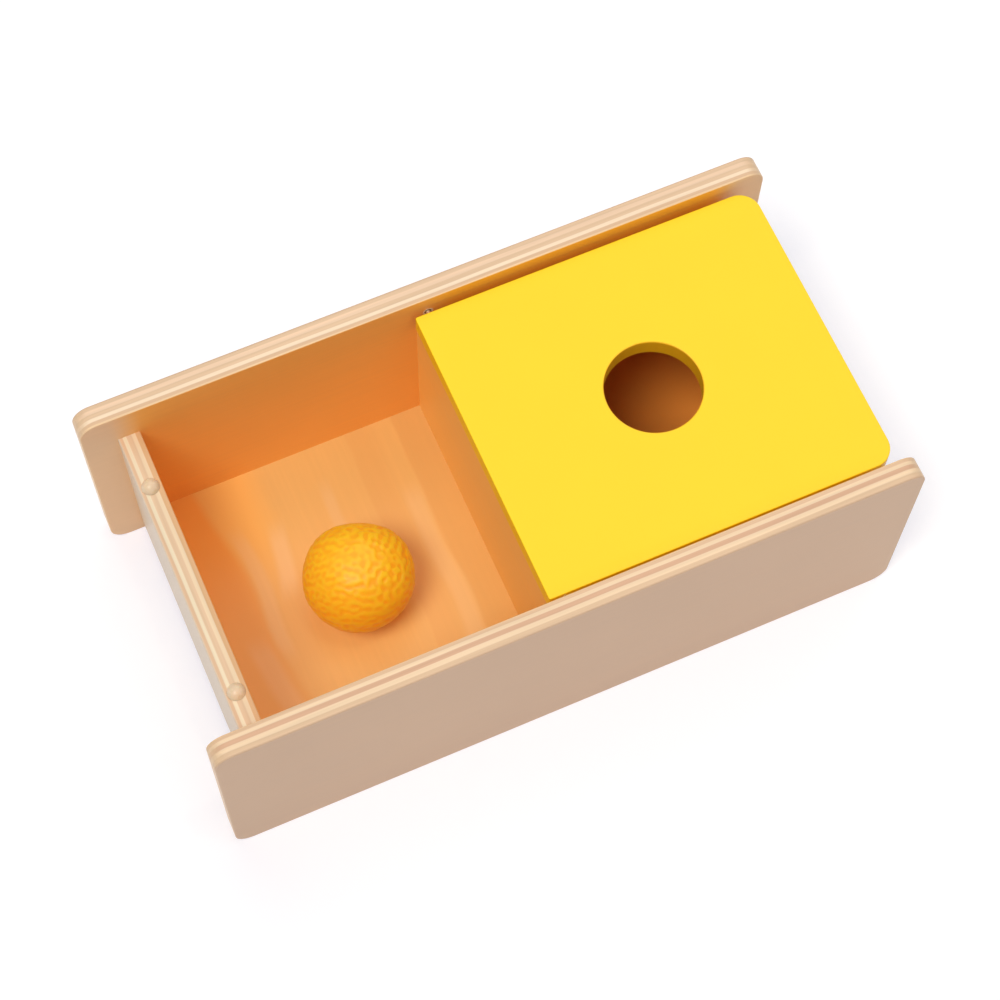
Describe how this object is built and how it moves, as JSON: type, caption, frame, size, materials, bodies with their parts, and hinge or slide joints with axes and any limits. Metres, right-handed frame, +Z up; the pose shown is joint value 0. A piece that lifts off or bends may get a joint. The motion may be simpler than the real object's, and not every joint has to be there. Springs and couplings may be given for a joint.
{
  "type": "object permanence box",
  "caption": "Wooden toy box with an open ball tray, and beside it a covered compartment under a yellow flip lid with a round hole for a soft ball.",
  "frame": {"origin": "middle of the box's footprint, on the surface that it stands on", "axes": "+X along the box from the open tray to the covered compartment, +Y to the back panel, +Z up"},
  "size_m": [0.3015, 0.1574, 0.1095],
  "materials": {
    "side_plywood": "five-ply plywood, edges showing the plies, satin clear lacquer",
    "cross_plywood": "five-ply plywood, top edges showing the plies, satin clear lacquer",
    "floor_plywood": "warm plywood face with broad pale grain, satin clear lacquer",
    "lid_paint": "smooth satin yellow paint on board",
    "hinge_steel": "plain bright steel",
    "bush_nylon": "plain white nylon",
    "clear_silicone": "clear soft silicone, slightly glossy",
    "ball_rubber": "soft amber rubber with a fine wrinkled relief, low gloss",
    "dowel_beech": "plain beech"
  },
  "bodies": {
    "box": {"front_side_panel": "side_plywood", "back_side_panel": "side_plywood", "left_end_panel": "cross_plywood", "right_end_panel": "cross_plywood", "divider_panel": "cross_plywood", "floor_panel": "floor_plywood", "front_hinge_bush": "bush_nylon", "back_hinge_bush": "bush_nylon", "left_front_bumper": "clear_silicone", "left_back_bumper": "clear_silicone", "right_front_bumper": "clear_silicone", "right_back_bumper": "clear_silicone", "left_end_front_dowels": "dowel_beech", "left_end_back_dowels": "dowel_beech", "right_end_front_dowels": "dowel_beech", "right_end_back_dowels": "dowel_beech", "divider_front_dowels": "dowel_beech", "divider_back_dowels": "dowel_beech", "floor_front_dowels": "dowel_beech", "floor_back_dowels": "dowel_beech"},
    "lid": {"flip_lid": "lid_paint", "front_hinge_pin": "hinge_steel", "back_hinge_pin": "hinge_steel"},
    "loose_ball": {"ball": "ball_rubber"}
  },
  "joints": [
    {"name": "lid_hinge", "type": "hinge", "parent": "box", "child": "lid", "pos_m": [0, 0, 0.0991], "axis": [0, -1, 0], "range_deg": [0, 180]},
    {"name": "ball_lift", "type": "slide", "parent": "box", "child": "loose_ball", "axis": [0, 0, 1], "range_m": [0, 0.15]}
  ]
}
